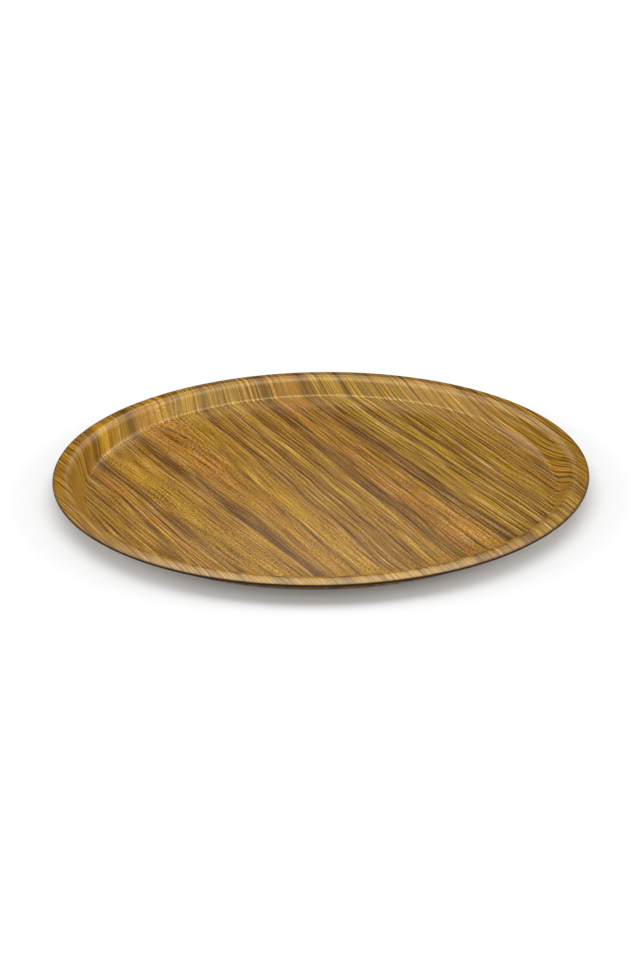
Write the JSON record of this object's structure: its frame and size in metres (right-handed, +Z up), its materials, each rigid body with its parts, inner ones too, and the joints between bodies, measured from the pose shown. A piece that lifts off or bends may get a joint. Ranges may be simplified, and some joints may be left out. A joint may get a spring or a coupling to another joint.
{
  "type": "serving tray",
  "caption": "Shallow round serving tray pressed from resin-bonded sheets, with a flared wall, a narrow lip and a wood-grain print on both faces.",
  "frame": {"origin": "centre of the underside, where the tray stands on the table", "axes": "+Z up along the axis of the round dish; X and Y are any two level directions"},
  "size_m": [0.38, 0.38, 0.015],
  "materials": {
    "clear_overlay": "satin clear melamine",
    "wood_grain_print": "satin printed wood grain, golden brown with dark streaks",
    "kraft_core": "matt trimmed edge, dark brown"
  },
  "bodies": {
    "root": {"top_overlay": "clear_overlay", "top_decor_sheet": "wood_grain_print", "core_ply_1": "kraft_core", "core_ply_2": "kraft_core", "core_ply_3": "kraft_core", "core_ply_4": "kraft_core", "core_ply_5": "kraft_core", "core_ply_6": "kraft_core", "bottom_decor_sheet": "wood_grain_print", "bottom_overlay": "clear_overlay"}
  },
  "joints": []
}
